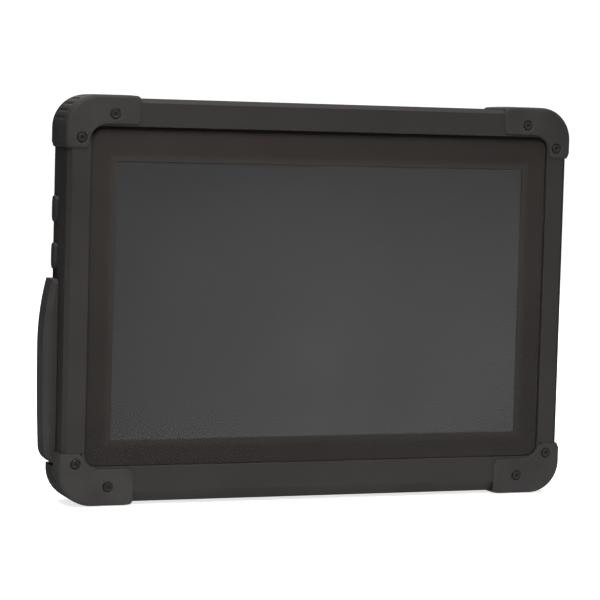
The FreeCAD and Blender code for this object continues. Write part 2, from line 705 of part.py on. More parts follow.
def chassis():
    """Pressed plate with lightening holes and stand-offs, and the screws of the main board."""
    owner = body("ChassisPlate")
    drawn = sketch(owner, "XZ", "chassis_line + chassis_thick")
    rounded(drawn, span("0", "230"), span("middle_height", "164"), "6")
    pad(owner, drawn, "chassis_thick")
    drawn = sketch(owner, "XZ", "chassis_line + chassis_thick")
    for across, up in board_fixings():
        circle(drawn, "2.5", across, up)
    pad(owner, drawn, "board_line - chassis_line - chassis_thick - 0.05", backwards=True)
    drawn = sketch(owner, "XZ", "board_line")
    for across, up in board_fixings():
        circle(drawn, "1.25", across, up)
    pocket(owner, drawn, "board_line - chassis_line + 1", along=True)
    drawn = sketch(owner, "XZ", "chassis_line")
    rounded(drawn, span("0", "30"), ("59.5", "66"), "1")
    for column in range(5):
        rounded(drawn, span(f"{column - 2} * 42", "26"), ("168", "176"), "3")
        rounded(drawn, span(f"{column - 2} * 42", "26"), ("24", "32"), "3")
    pocket(owner, drawn, "chassis_thick")
    node("chassis_plate", owner)

    sizes = ("2.2", "1.4", "1.2", "4.6")
    node("board_screws", group("BoardScrews", [
        cap_screw(f"BoardScrew{index}", across, up, f"{BOARD_BACK} + 1.45", 1, sizes)
        for index, (across, up) in enumerate(board_fixings())]))


def main_board():
    """Main circuit board and the separate pieces on it."""
    blank = block("MainBoardBlank", BOARD_X, ("board_line", BOARD_BACK), BOARD_Z)
    holes = [rod(f"MainBoardHole{index}", "y", "1.4", "board_line - 1", f"{BOARD_BACK} + 1", place)
             for index, place in enumerate(board_fixings())]
    node("main_board", cut("MainBoard", blank, *holes))
    on_board = f"{BOARD_BACK} + 0.02"
    pieces = {
        "processor": (span("-10", "24"), span("120", "24"), "1.4"),
        "memory_module": (("0", "67"), ("63", "92"), "2.6"),
        "solid_state_drive": (("-85", "-5"), ("66", "88"), "2.2"),
        "radio_module": (("45", "73"), ("100", "122"), "2.2"),
    }
    for label, (x, z, tall) in pieces.items():
        name = label.title().replace("_", "")
        node(label, block(name, x, (on_board, f"{on_board} + {tall}"), z))
    node("coin_cell", rod("CoinCell", "y", "10", on_board, f"{on_board} + 3.2", ("56", "145")))
    plate = block("HeatSpreaderPlate", ("-60", "40"),
                  (f"{on_board} + 1.45", f"{on_board} + 2.65"), ("95", "145"))
    fins = [block(f"HeatSpreaderFin{index}", span(f"-50 + {index} * 10", "1.2"),
                  (f"{on_board} + 2.6", f"{on_board} + 4.8"), ("97", "143")) for index in range(9)]
    node("heat_spreader", fuse("HeatSpreader", plate, *fins))


# ---------------------------------------------------------------- antennas, sound, camera, dock

def antennas():
    """Ceramic satellite antenna under the top edge, and two flexible radio antennas."""
    puck = block("GnssPuck", span("-36", "25"), ("-6", "-2"), span("178", "25"))
    patch = block("GnssPatch", span("-36", "19"), ("-2", "-1.7"), span("178", "19"))
    node("gnss_antenna", fuse("GnssAntenna", puck, patch))
    for side, label in ((-1, "radio_antenna_left"), (1, "radio_antenna_right")):
        name = label.title().replace("_", "")
        node(label, block(name, span(f"{side} * 90", "44"), ("-2.5", "6.5"), ("194", "194.6")))


def sound():
    """Two loudspeakers behind the slots of the rear housing, and the microphone."""
    for side, label in ((-1, "speaker_left"), (1, "speaker_right")):
        name = label.title().replace("_", "")
        across = f"{side} * speaker_across"
        box = block(name + "Box", span(across, "28"), (f"{INNER_FLOOR} - 5", f"{INNER_FLOOR} - 0.3"),
                    span("speaker_height", "17"))
        cone = rod(name + "Cone", "y", "6.5", f"{INNER_FLOOR} - 1", INNER_FLOOR, (across, "speaker_height"))
        node(label, cut(name, box, cone))
    node("microphone", rod("Microphone", "y", "2", f"{INNER_FLOOR} - 1.8", f"{INNER_FLOOR} - 0.2",
                           ("-85", "camera_height")))


def camera():
    """Camera module behind its window, and the lens of its flash."""
    place = ("camera_across", "camera_height")
    base = block("CameraBase", span("camera_across", "13"), (f"{INNER_FLOOR} - 5", f"{INNER_FLOOR} - 0.3"),
                 span("camera_height", "13"))
    barrel = rod("CameraBarrel", "y", "3.8", f"{INNER_FLOOR} - 1", f"{INNER_FLOOR} + 1", place)
    bore = rod("CameraBore", "y", "2.4", f"{INNER_FLOOR} - 0.5", f"{INNER_FLOOR} + 2", place)
    node("camera_module", cut("CameraModule", fuse("CameraSolid", base, barrel), bore))
    node("camera_window", rod("CameraWindow", "y", "6.9", "rear_face - 1.05", "rear_face - 0.1", place))
    node("flash_lens", rod("FlashLens", "y", "2.9", "rear_face - 2", "rear_face - 0.1",
                           ("flash_across", "camera_height")))


def dock():
    """Docking connector in the bottom edge, and its row of spring contacts."""
    bottom = "middle_height - case_tall / 2"
    base = block("DockBase", span("0", "47.6"), ("0.75", "7.75"), (f"{bottom} + 0.8", f"{bottom} + 6"))
    contacts = [rod(f"DockContact{index}", "z", "0.9", f"{bottom} + 0.45", f"{bottom} + 3",
                    (f"{index - 5.5} * 3.4", "4.25")) for index in range(12)]
    holes = [rod(f"DockHole{index}", "z", "0.95", bottom, f"{bottom} + 3.1",
                 (f"{index - 5.5} * 3.4", "4.25")) for index in range(12)]
    node("dock_connector", cut("DockConnector", base, *holes))
    node("dock_contacts", group("DockContacts", contacts))


def mount_inserts():
    """Four brass threaded inserts of the rear bolt pattern."""
    inserts = []
    for index, place in enumerate(mount_places()):
        outer = rod(f"InsertOuter{index}", "y", "insert_radius", "rear_face - insert_long", "rear_face",
                    place)
        bore = rod(f"InsertBore{index}", "y", "insert_bore", "rear_face - insert_long - 1", "rear_face + 1",
                   place)
        inserts.append(cut(f"Insert{index}", outer, bore))
    node("mount_inserts", group("MountInserts", inserts))


# ---------------------------------------------------------------- battery

def battery():
    """Battery pack with its captive coin-slot screws, bushes, contact block and gasket."""
    owner = body("BatteryPack")
    drawn = sketch(owner, "XZ", "battery_rear")
    rounded(drawn, span("0", "hump_width"), span("battery_height", "hump_tall"), "9")
    pad(owner, drawn, "battery_rear - rear_face - 0.15")
    rear = value("battery_rear")
    bevel(owner, "Chamfer", "1.6", lambda b: lies_at(b.YMin, b.YMax, rear))
    drawn = sketch(owner, "XZ", "rear_face + 0.5")
    rounded(drawn, span("0", "bay_width - 2 * slack"), span("battery_height", "bay_tall - 2 * slack"), "5")
    pad(owner, drawn, "bay_deep + 0.5 - slack")
    drawn = sketch(owner, "XZ", "rear_face - bay_deep + slack")
    rounded(drawn, span("0", "31"), span("battery_height + 34", "7"), "1")
    pocket(owner, drawn, "2.5")
    drawn = sketch(owner, "XZ", "battery_rear")
    for side in (-1, 1):
        circle(drawn, "5.4", f"{side} * captive_across", "battery_height")
    pocket(owner, drawn, "2.2", along=True)
    drawn = sketch(owner, "XZ", "battery_rear")
    for side in (-1, 1):
        circle(drawn, "captive_radius + 0.15", f"{side} * captive_across", "battery_height")
    pocket(owner, drawn, "6", along=True)
    node("battery_pack", owner)

    for side, label in ((-1, "battery_screw_left"), (1, "battery_screw_right")):
        captive_screw(label, f"{side} * captive_across")

    bushes = []
    for index, side in enumerate((-1, 1)):
        place = (f"{side} * captive_across", "battery_height")
        outer = rod(f"BushOuter{index}", "y", "bush_radius", "rear_face - 8", "rear_face", place)
        bore = rod(f"BushBore{index}", "y", "bush_bore", "rear_face - 7.4", "rear_face + 1", place)
        bushes.append(cut(f"Bush{index}", outer, bore))
    node("battery_bushes", group("BatteryBushes", bushes))

    floor = "rear_face - bay_deep"
    block_y = (f"{floor} - 2.4", f"{floor} + 1.9")
    base = block("ContactBase", span("0", "30"), block_y, span("battery_height + 34", "6"))
    blades = [block(f"ContactSlot{index}", span(f"{index - 2} * 5.5", "1.2"), (floor, f"{floor} + 3"),
                    span("battery_height + 34", "4")) for index in range(5)]
    node("battery_contacts", cut("BatteryContacts", base, *blades))
    ring("BatterySeal", "battery_seal", f"{floor} + 0.25", "0.2", span("0", "bay_width - 6"),
         span("battery_height", "bay_tall - 6"), "5", "2", inner="3")


def captive_screw(label, across):
    """Coin-slot screw that stays in the battery: a wide slotted head and a plain shank."""
    name = label.title().replace("_", "")
    place = (across, "battery_height")
    head = rod(name + "Head", "y", "5.1", "battery_rear - 2.1", "battery_rear - 0.3", place)
    shank = rod(name + "Shank", "y", "captive_radius", "rear_face - 6.5", "battery_rear - 2", place)
    slot = block(name + "Slot", span(across, "12"), ("battery_rear - 1.3", "battery_rear + 1"),
                 span("battery_height", "1.6"))
    node(label, cut(name, fuse(name + "Blank", head, shank), slot))


# ---------------------------------------------------------------- connector bay

SKIN = f"{SIDE} - door_gap"
DOME = f"{SIDE} - door_proud"


def bow_radius(rise, drop):
    """The radius of an arc that runs upright at one end and has dropped back after a rise."""
    return f"(({rise})^2 + ({drop})^2) / (2 * ({drop}))"


def connector_cover():
    """Domed cover hinged at its rear edge: bowed outside, hollow, with a lip that enters the bay."""
    owner = body("IoDoor")
    drawn = sketch(owner, "XZ", "door_rear")
    upper = bow_radius("door_top - door_dome_height", "door_proud - door_upper_step")
    lower = bow_radius("door_dome_height - door_lower_height", "door_proud - door_lower_step")
    outline(drawn, [(SKIN, "door_top"), (f"{SIDE} - door_upper_step", "door_top"),
                    (DOME, "door_dome_height"), (f"{SIDE} - door_lower_step", "door_lower_height"),
                    (SKIN, "door_low")],
            {1: upper, 2: lower, 3: "door_lower_radius"})
    pad(owner, drawn, "door_rear - door_front")
    front, rear, outside = value("door_front"), value("door_rear"), value(SKIN)
    bevel(owner, "Chamfer", "2.2", lambda b: lies_at(b.YMin, b.YMax, front) and b.XMin < outside - 0.1)
    bevel(owner, "Chamfer", "1", lambda b: lies_at(b.YMin, b.YMax, rear) and b.XMin < outside - 0.1)

    drawn = sketch(owner, "YZ", SKIN)
    rounded(drawn, ("0.8", "7.9"), ("bay_low + 0.7", "bay_top - 0.7"), "1.2")
    pad(owner, drawn, "1.3")
    drawn = sketch(owner, "YZ", f"{SKIN} + 1.3")
    rounded(drawn, ("2", "6.9"), ("29", "100"), "1")
    pocket(owner, drawn, "5.6")

    drawn = sketch(owner, "XY", "door_low - 1")
    circle(drawn, "pin_radius + pin_fit", HINGE_X, "hinge_line")
    pocket(owner, drawn, "82", along=True)
    for low in ("33.6", "87.6"):
        drawn = sketch(owner, "XY", low)
        rounded(drawn, (f"{SIDE} - 5.1", f"{SIDE} + 2"),
                ("hinge_line - lug_radius - 0.6", "door_rear + 1"), "0.5")
        pocket(owner, drawn, "6.8", along=True)
    drawn = sketch(owner, "XY", "0")
    outline(drawn, [(f"{SIDE} + 1", "hinge_line + 0.5"), (f"{SIDE} + 1", "door_rear + 1"),
                    (f"{HINGE_X} + 1.3", "door_rear + 1"), (f"{HINGE_X} + 1.3", "door_rear"),
                    (SKIN, "hinge_line + 0.5")])
    pocket(owner, drawn, "middle_height + 20", along=True)
    return node("io_door", owner)


def connector_bay():
    """Cover gasket, hinge pin, sockets and the board that carries them."""
    connector_cover()
    ring("IoDoorSeal", "io_door_seal", f"{SKIN} + 0.05", "0.8", ("0.35", "8.35"),
         ("bay_low + 0.3", "bay_top - 0.3"), "1.4", "0.4", plane="YZ", inner="1.2")
    node("io_door_pin", rod("IoDoorPin", "z", "pin_radius", "31", "99", (HINGE_X, "hinge_line")))
    node("io_board", block("IoBoard", ("-121.5", "-109"),
                           (f"{SOCKET_FLOOR} - 1.25", f"{SOCKET_FLOOR} - 0.05"), ("28", "100")))
    deep = f"{SOCKET_MOUTH} + 14"
    for label in ("usb_socket_upper", "usb_socket_lower", "usb_c_socket"):
        usb_socket(label, deep)
    round_socket("audio_jack", deep, "1.8", "0")
    round_socket("power_jack", deep, "3.2", "1")


def usb_socket(label, deep):
    """Pressed shell with a plastic tongue in the middle of its mouth."""
    height, long, wide = SOCKETS[label]
    name = label.title().replace("_", "")
    y = (SOCKET_FLOOR, f"{SOCKET_FLOOR} + {wide}")
    shell = block(name + "Shell", (SOCKET_MOUTH, deep), y, span(height, long))
    mouth = block(name + "Mouth", (f"{SOCKET_MOUTH} - 1", f"{SOCKET_MOUTH} + 11"), grown(y, "-0.4"),
                  span(height, f"{long} - 0.8"))
    tongue = block(name + "Tongue", (f"{SOCKET_MOUTH} + 1.5", f"{SOCKET_MOUTH} + 12"),
                   span(f"{SOCKET_FLOOR} + {wide} / 2", f"{wide} * 0.25"), span(height, f"{long} - 3"))
    node(label, fuse(name, cut(name + "Hollow", shell, mouth), tongue))


def round_socket(label, deep, bore_radius, pin_radius):
    """Square block with a round mouth, and a centre pin where it has one."""
    height, long, wide = SOCKETS[label]
    name = label.title().replace("_", "")
    place = (f"{SOCKET_FLOOR} + {wide} / 2", height)
    base = block(name + "Block", (SOCKET_MOUTH, deep), (SOCKET_FLOOR, f"{SOCKET_FLOOR} + {wide}"),
                 span(height, long))
    bore = rod(name + "Bore", "x", bore_radius, f"{SOCKET_MOUTH} - 1", f"{SOCKET_MOUTH} + 10", place)
    hollow = cut(name + "Hollow", base, bore)
    if value(pin_radius) > 0:
        pin = rod(name + "Pin", "x", pin_radius, f"{SOCKET_MOUTH} + 1", f"{SOCKET_MOUTH} + 11", place)
        hollow = fuse(name, hollow, pin)
    node(label, hollow)


# ---------------------------------------------------------------- side keys

def side_keys():
    """Two sprung keys through the left side, each with a tact switch on a shared board."""
    inside = f"{SIDE} + wall"
    for label, height in (("power", "power_height"), ("function", "function_height")):
        name = label.title()
        owner = body(name + "Button")
        drawn = sketch(owner, "YZ", f"{SIDE} - key_proud")
        rounded(drawn, span("key_line", "key_wide"), span(height, "key_long"), "2.7")
        pad(owner, drawn, "key_proud + wall + 0.5")
        outer = value(f"{SIDE} - key_proud")
        bevel(owner, "Fillet", "0.7", lambda b: lies_at(b.XMin, b.XMax, outer))
        drawn = sketch(owner, "YZ", f"{inside} + 0.3")
        rounded(drawn, span("key_line", "key_wide + 2"), span(height, "key_long + 3"), "2")
        pad(owner, drawn, "1.2")
        drawn = sketch(owner, "YZ", f"{inside} + 1")
        circle(drawn, "1.4", "key_line", height)
        pad(owner, drawn, "2.2")
        node(label + "_button", owner)

        case = block(name + "SwitchCase", (f"{inside} + 4.4", f"{inside} + 7.5"), span("key_line", "6"),
                     span(height, "6"))
        stem = rod(name + "SwitchStem", "x", "1.6", f"{inside} + 4.1", f"{inside} + 5",
                   ("key_line", height))
        node(label + "_switch", fuse(name + "Switch", case, stem))
    node("key_board", block("KeyBoard", (f"{inside} + 7.55", f"{inside} + 8.75"), span("key_line", "9"),
                            ("function_height - 8", "power_height + 8")))


# ---------------------------------------------------------------- build, check and write

front_housing()
rear_housing()
case_fasteners()
corner_bumpers()
display()
chassis()
main_board()
antennas()
sound()
camera()
dock()
mount_inserts()
battery()
connector_bay()
side_keys()
doc.recompute()

for item in doc.Objects:
    if {"Invalid", "Error"} & set(item.State):
        raise ValueError(f"{item.Name} failed: {item.State}")
for item in nodes:
    if item.Shape.isNull() or not item.Shape.isValid() or item.Shape.Volume <= 0:
        raise ValueError(f"{item.Label} has no valid shape")

os.makedirs("parts", exist_ok=True)
whole = FreeCAD.BoundBox()
for item in nodes:
    item.Shape.exportStep(f"parts/{item.Label}.step")
    whole.add(item.Shape.optimalBoundingBox(False, False))
print(len(nodes), "sub-parts,", sum(len(item.Shape.Solids) for item in nodes), "solids")
print("X %.2f %.2f  Y %.2f %.2f  Z %.2f %.2f" % (
    whole.XMin, whole.XMax, whole.YMin, whole.YMax, whole.ZMin, whole.ZMax))
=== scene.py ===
import math

import bmesh
import bpy
import numpy as np
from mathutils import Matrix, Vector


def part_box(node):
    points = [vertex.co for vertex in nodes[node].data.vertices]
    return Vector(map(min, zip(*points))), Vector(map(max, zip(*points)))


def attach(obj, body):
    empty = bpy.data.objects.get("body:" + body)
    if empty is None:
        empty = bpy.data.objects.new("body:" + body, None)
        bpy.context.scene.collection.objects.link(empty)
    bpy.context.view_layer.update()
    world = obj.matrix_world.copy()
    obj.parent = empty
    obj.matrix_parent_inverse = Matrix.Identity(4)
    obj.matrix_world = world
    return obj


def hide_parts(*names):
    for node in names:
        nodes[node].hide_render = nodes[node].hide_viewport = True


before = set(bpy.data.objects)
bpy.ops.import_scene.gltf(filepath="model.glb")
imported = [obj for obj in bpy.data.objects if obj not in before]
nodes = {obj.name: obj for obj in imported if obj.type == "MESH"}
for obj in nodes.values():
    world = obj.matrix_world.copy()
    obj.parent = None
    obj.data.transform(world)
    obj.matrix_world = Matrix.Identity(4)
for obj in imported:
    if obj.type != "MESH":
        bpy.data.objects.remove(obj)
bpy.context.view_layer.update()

# ---------------------------------------------------------------- view
# The tablet is seen from the user's side, a little from the left and from above, from about 1.2 m.
# The lens looks at a spot just left of the middle of the display.
front_low, front_high = (np.array(corner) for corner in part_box("front_housing"))
face_middle = (front_low + front_high) / 2
face_middle[1] = front_low[1]
seen_from_left, seen_from_above, tilt = np.radians((21.35, 4.29, 1.63))
viewing_distance = 1.203
aim_left, aim_up = 0.0116, 0.00075


def unit(vector):
    """The vector divided by its own length."""
    return vector / np.linalg.norm(vector)


towards = np.array([np.sin(seen_from_left) * np.cos(seen_from_above),
                    np.cos(seen_from_left) * np.cos(seen_from_above), -np.sin(seen_from_above)])
level = unit(np.cross(towards, (0, 0, 1)))
upright = np.cross(level, towards)
right = math.cos(tilt) * level + math.sin(tilt) * upright
above = math.cos(tilt) * upright - math.sin(tilt) * level
eye = face_middle - viewing_distance * towards


def stand_at(thing, place, looks_at, up):
    """Turn a camera or light so that its -Z points at a spot and its +Y is as near to up as it can be."""
    forward = unit(looks_at - place)
    side = unit(np.cross(forward, up))
    turned = np.eye(4)
    turned[:3, 0] = side
    turned[:3, 1] = np.cross(side, forward)
    turned[:3, 2] = -forward
    turned[:3, 3] = place
    thing.matrix_world = turned.T.tolist()


camera_data = bpy.data.cameras.new("view")
camera_data.sensor_width = 36
camera_data.lens = 144.3
camera = bpy.data.objects.new("view", camera_data)
bpy.context.scene.collection.objects.link(camera)
stand_at(camera, eye, face_middle - aim_left * right + aim_up * above, above)
bpy.context.scene.camera = camera

# ---------------------------------------------------------------- studio
# A round white floor that bends up into a wall all the way round, so every side looks the same. Only
# the floor throws light back on the tablet, which is near black and would show the wall in its gloss.
crease_angle = math.radians(32)
merge_within, no_length = 2e-6, 1e-7


def skin(name, grids):
    """A mesh over grids of points in metres: their shared edges and poles are merged and all faces turned
    outwards, and an edge sharper than the crease angle stays sharp."""
    starts = np.cumsum([0] + [grid.shape[0] * grid.shape[1] for grid in grids])
    faces = []
    for start, grid in zip(starts, grids):
        index = start + np.arange(grid.shape[0] * grid.shape[1]).reshape(grid.shape[:2])
        corners = index[:-1, :-1], index[1:, :-1], index[1:, 1:], index[:-1, 1:]
        faces.append(np.stack(corners, -1).reshape(-1, 4))
    mesh = bpy.data.meshes.new(name)
    points = np.concatenate([grid.reshape(-1, 3) for grid in grids])
    mesh.from_pydata(points.tolist(), [], np.concatenate(faces).tolist())
    merged = bmesh.new()
    merged.from_mesh(mesh)
    bmesh.ops.remove_doubles(merged, verts=merged.verts, dist=merge_within)
    bmesh.ops.dissolve_degenerate(merged, edges=merged.edges, dist=no_length)
    bmesh.ops.recalc_face_normals(merged, faces=merged.faces)
    merged.to_mesh(mesh)
    merged.free()
    mesh.shade_smooth()
    mesh.set_sharp_from_angle(angle=crease_angle)
    item = bpy.data.objects.new(name, mesh)
    bpy.context.scene.collection.objects.link(item)
    return item


def turned_about(profile, segments):
    """A profile of (radius, height) points carried round an upright axis, as one grid that meets itself."""
    angle = np.linspace(0, 2 * np.pi, segments + 1)
    radius, height = np.asarray(profile, float).T
    return np.stack([radius[:, None] * np.cos(angle), radius[:, None] * np.sin(angle),
                     np.broadcast_to(height[:, None], (len(height), len(angle)))], -1)


def shader_nodes(name):
    """A material with its nodes, its links and its Principled shader."""
    material = bpy.data.materials.new(name)
    material.use_nodes = True
    tree = material.node_tree
    return material, tree.nodes, tree.links, tree.nodes["Principled BSDF"]


paint, _, _, shader = shader_nodes("white_paint")
shader.inputs["Base Color"].default_value = (0.93, 0.93, 0.925, 1)
shader.inputs["Roughness"].default_value = 0.9
shader.inputs["Emission Color"].default_value = (1, 1, 1, 1)
shader.inputs["Emission Strength"].default_value = 0.75
floor_edge, flat_edge, bend, wall_top, floor_gap = 0.36, 2.0, 0.9, 3.2, 0.0002
quarter = np.radians(np.linspace(0, 90, 24))
floor_line = [(0, 0), (floor_edge / 2, 0), (floor_edge, 0)]
wall_line = [(floor_edge, 0), (flat_edge, 0),
             *np.stack([flat_edge + bend * np.sin(quarter), bend * (1 - np.cos(quarter))], 1)[1:],
             (flat_edge + bend, wall_top)]
for name, line, throws_light in (("floor", floor_line, True), ("wall", wall_line, False)):
    item = skin(name, [turned_about(line, 96) - (0, 0, floor_gap)])
    item.data.materials.append(paint)
    item.visible_diffuse = throws_light
    item.visible_glossy = item.visible_shadow = item.visible_transmission = False

world = bpy.data.worlds.new("room")
bpy.context.scene.world = world
world.use_nodes = True
made, joined = world.node_tree.nodes, world.node_tree.links
room_light = made["Background"]
room_light.inputs["Color"].default_value = (1.0, 0.985, 0.97, 1)
brightest_way = made.new("ShaderNodeVectorMath")
brightest_way.operation = "DOT_PRODUCT"
brightest_way.inputs[1].default_value = (0.10, -0.90, 0.42)
joined.new(made.new("ShaderNodeTexCoord").outputs["Generated"], brightest_way.inputs[0])
glow = made.new("ShaderNodeMapRange")
joined.new(brightest_way.outputs["Value"], glow.inputs["Value"])
for socket, number in (("From Min", -0.6), ("From Max", 1.0), ("To Min", 0.03), ("To Max", 0.20)):
    glow.inputs[socket].default_value = number
joined.new(glow.outputs["Result"], room_light.inputs["Strength"])
bpy.context.scene.view_settings.view_transform = "Standard"


def soft_box(name, place, looks_at, width, height, watts):
    """A rectangular lamp at a place in metres, turned towards the spot it looks at."""
    lamp = bpy.data.lights.new(name, "AREA")
    lamp.shape = "RECTANGLE"
    lamp.size, lamp.size_y = width, height
    lamp.energy = watts
    holder = bpy.data.objects.new(name, lamp)
    bpy.context.scene.collection.objects.link(holder)
    stand_at(holder, np.array(place), np.array(looks_at), np.array((0, 0.01, 1)))


soft_box("overhead_box", (0.0, 0.0, 1.9), (0, 0.1, 0), 2.4, 2.0, 30)
soft_box("key_box", (-0.24, -0.46, 0.78), (-0.09, 0, 0.16), 0.5, 0.4, 5.5)
soft_box("sheen_box", (0.68, -1.5, -0.12), (0.03, 0, 0.08), 0.72, 0.42, 1.25)
soft_box("back_box", (0.40, 1.25, 0.95), (0, 0, 0.10), 0.9, 0.7, 7)

# ---------------------------------------------------------------- case shells
# Two halves moulded in glass-filled nylon with a fine spark-eroded texture, slightly warm black.
# The edges are a little lighter, partly as wear from handling and partly as a painted highlight, and dust
# dulls the flats.


def dial(made, kind, **settings):
    """Add a node and set its properties, or its inputs where the name starts with a capital."""
    node = made.new(kind)
    for name, setting in settings.items():
        if name[0].isupper():
            node.inputs[name.replace("_", " ")].default_value = setting
        else:
            setattr(node, name, setting)
    return node


def blended(made, joined, share, first, second):
    """A colour that goes from the first to the second with a share; either may be another node's socket."""
    mix = dial(made, "ShaderNodeMix", data_type="RGBA")
    joined.new(share, mix.inputs["Factor"])
    for socket, colour in ((mix.inputs[6], first), (mix.inputs[7], second)):
        if isinstance(colour, bpy.types.NodeSocket):
            joined.new(colour, socket)
        else:
            socket.default_value = (*colour, 1)
    return mix.outputs[2]


def ranged(made, joined, share, low, high, start=0.0, end=1.0):
    """A number that goes from start to end while the share goes from low to high."""
    node = dial(made, "ShaderNodeMapRange", From_Min=low, From_Max=high, To_Min=start, To_Max=end)
    joined.new(share, node.inputs["Value"])
    return node.outputs["Result"]


def combined(made, joined, operation, first, second):
    """Two numbers put together; the second may be a plain number."""
    node = dial(made, "ShaderNodeMath", operation=operation)
    joined.new(first, node.inputs[0])
    if isinstance(second, bpy.types.NodeSocket):
        joined.new(second, node.inputs[1])
    else:
        node.inputs[1].default_value = second
    return node.outputs["Value"]


def finish(name, colour, roughness, grain=0.4, depth=0.03, rounding=0.4, wear_and_highlight=1.7, mottle=0.18,
           drift=36.0, streak=(1, 1, 1), pattern=None, **constants):
    """A worked surface: the colour drifts over centimetres, the grain is a fine bump of a size and depth in
    millimetres, and edges are rounded and painted paler, partly as wear and partly as a painted highlight. A
    streak stretches both along an axis, and a pattern adds a share of a second colour and its height."""
    material, made, joined, shader = shader_nodes(name)
    place = made.new("ShaderNodeTexCoord").outputs["Object"]
    stretched = dial(made, "ShaderNodeMapping", Scale=streak)
    joined.new(place, stretched.inputs["Vector"])
    cloud = dial(made, "ShaderNodeTexNoise", Scale=drift, Detail=4.0, Roughness=0.62)
    fine = dial(made, "ShaderNodeTexNoise", Scale=1000 / grain, Detail=3.0, Roughness=0.55)
    for noise in (cloud, fine):
        joined.new(stretched.outputs["Vector"], noise.inputs["Vector"])
    colour = np.array(colour)
    drifting = ranged(made, joined, cloud.outputs["Fac"], 0.3, 0.7)
    base = blended(made, joined, drifting, colour * (1 - mottle), np.minimum(colour * (1 + mottle), 1))
    height = fine.outputs["Fac"]
    if pattern:
        share, second = pattern(made, joined, place)
        base = blended(made, joined, share, base, second)
        height = combined(made, joined, "ADD", height, share)
    rounded = dial(made, "ShaderNodeBevel", samples=6, Radius=rounding / 1000)
    match = dial(made, "ShaderNodeVectorMath", operation="DOT_PRODUCT")
    joined.new(rounded.outputs["Normal"], match.inputs[0])
    joined.new(made.new("ShaderNodeNewGeometry").outputs["Normal"], match.inputs[1])
    # Pale edges: partly wear, partly a painted highlight along every edge the bevel finds.
    edge = ranged(made, joined, match.outputs["Value"], 0.995, 0.86)
    worn_and_highlit_edge = combined(made, joined, "MULTIPLY", edge, cloud.outputs["Fac"])
    shown = blended(made, joined, worn_and_highlit_edge, base, np.minimum(colour * wear_and_highlight + 0.006, 1))
    joined.new(shown, shader.inputs["Base Color"])
    smoothest, roughest = max(roughness - 0.06, 0.02), roughness + 0.08
    gloss = ranged(made, joined, cloud.outputs["Fac"], 0.3, 0.7, smoothest, roughest)
    joined.new(gloss, shader.inputs["Roughness"])
    bump = dial(made, "ShaderNodeBump", Strength=0.6, Distance=depth / 1000)
    joined.new(height, bump.inputs["Height"])
    joined.new(rounded.outputs["Normal"], bump.inputs["Normal"])
    joined.new(bump.outputs["Normal"], shader.inputs["Normal"])
    for socket, number in constants.items():
        shader.inputs[socket.replace("_", " ")].default_value = number
    return material


def give(material, *names):
    """Put one material on every slot of the CAD nodes named."""
    for name in names:
        mesh = nodes[name].data
        mesh.materials.clear()
        mesh.materials.append(material)


case_nylon = finish("case_nylon", (0.0300, 0.0270, 0.0255), 0.60, mottle=0.09, Specular_IOR_Level=0.22)
give(case_nylon, "front_housing", "rear_housing")

# ---------------------------------------------------------------- seals
# Three gaskets in black silicone: between the shells, round the battery bay and inside the connector
# cover. They are die-cut or moulded flat and squeezed by the screws and lips.
seal_silicone = finish("seal_silicone", (0.022, 0.022, 0.024), 0.48, grain=0.25, depth=0.012, rounding=0.15,
                       wear_and_highlight=1.3, Specular_IOR_Level=0.4)
give(seal_silicone, "housing_seal", "battery_seal", "io_door_seal")

# ---------------------------------------------------------------- cover glass
# A toughened pane with an etched anti-glare front. Its back is printed dark brown outside the picture
# area, and the print fades out in fine dots over the last millimetres, which leaves a paler band.
anti_glare, made, joined, shader = shader_nodes("anti_glare_glass")
shader.inputs["Base Color"].default_value = (1, 1, 1, 1)
shader.inputs["Transmission Weight"].default_value = 1.0
shader.inputs["IOR"].default_value = 1.15
smear = dial(made, "ShaderNodeTexNoise", Scale=14.0, Detail=3.0, Roughness=0.5)
wavy = dial(made, "ShaderNodeTexNoise", Scale=22.0, Detail=1.0)
for noise in (smear, wavy):
    joined.new(made.new("ShaderNodeTexCoord").outputs["Object"], noise.inputs["Vector"])
joined.new(ranged(made, joined, smear.outputs["Fac"], 0.35, 0.65, 0.12, 0.145), shader.inputs["Roughness"])
waviness = dial(made, "ShaderNodeBump", Strength=0.3, Distance=0.00003)
joined.new(wavy.outputs["Fac"], waviness.inputs["Height"])
joined.new(waviness.outputs["Normal"], shader.inputs["Normal"])
give(anti_glare, "cover_glass")
nodes["cover_glass"].visible_shadow = False

panel_low, panel_high = (np.array(corner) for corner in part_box("lcd_panel"))
panel_middle = (panel_low + panel_high) / 2
picture_half = np.array((0.10848, 0.0678))
fade_wide = 0.0042


def picture_edge(made, joined, place):
    """How far a point lies outside the picture area: the larger of its two distances past the half sizes."""
    apart = dial(made, "ShaderNodeSeparateXYZ")
    joined.new(place, apart.inputs["Vector"])
    past = []
    sides = (("X", panel_middle[0], picture_half[0]), ("Z", panel_middle[2], picture_half[1]))
    for axis, middle, half in sides:
        from_middle = combined(made, joined, "SUBTRACT", apart.outputs[axis], float(middle))
        away = combined(made, joined, "ABSOLUTE", from_middle, 0.0)
        past.append(combined(made, joined, "SUBTRACT", away, float(half)))
    return combined(made, joined, "MAXIMUM", *past)


def dot_fade(made, joined, place):
    """Share of the paler fade: full at the picture's edge and gone a fade width further out."""
    past = picture_edge(made, joined, place)
    return ranged(made, joined, past, fade_wide, 0.0), (0.078, 0.0700, 0.0650)


border_ink = finish("border_ink", (0.0570, 0.0475, 0.0435), 0.6, grain=0.2, depth=0.004, mottle=0.12,
                    drift=18.0, pattern=dot_fade, Specular_IOR_Level=0.2)
give(border_ink, "glass_border_print")
foam_tape = finish("foam_tape", (0.02, 0.02, 0.021), 0.85, grain=0.5, depth=0.05, wear_and_highlight=1.1)
give(foam_tape, "glass_adhesive")

